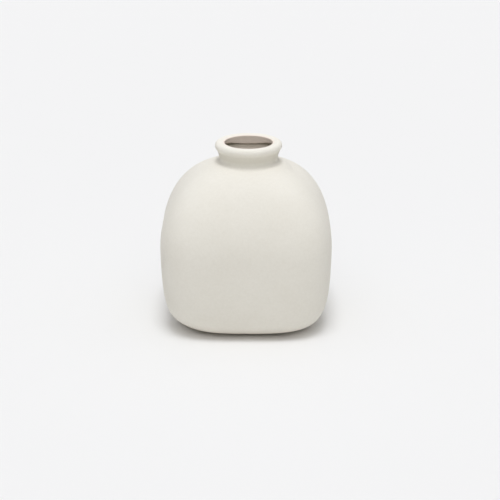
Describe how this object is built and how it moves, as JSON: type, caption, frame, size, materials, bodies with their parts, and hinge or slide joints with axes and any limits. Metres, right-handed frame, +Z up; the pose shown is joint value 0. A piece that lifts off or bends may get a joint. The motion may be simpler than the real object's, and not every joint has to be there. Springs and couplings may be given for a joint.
{
  "type": "pillow vase",
  "caption": "Squarish, softly swollen stoneware vase with a short flared neck, thick lip and low foot ring, hollow and glazed inside to hold water and stems.",
  "frame": {"origin": "middle of the body's footprint, on the ground under the foot ring", "axes": "+Z up through the body, +X to the right of the front, the front looks along -Y"},
  "size_m": [0.1, 0.0961, 0.107],
  "materials": {
    "white_clay": "matte, dry and slightly chalky, warm off-white",
    "bare_clay": "bare fired clay, matte and a little coarser and warmer",
    "clear_lining": "thin satin lining, slightly glassy"
  },
  "bodies": {
    "root": {"body_wall": "white_clay", "base_slab": "bare_clay", "foot_ring": "bare_clay", "neck_collar": "white_clay", "rim_coil": "white_clay", "inner_glaze": "clear_lining"}
  },
  "joints": []
}
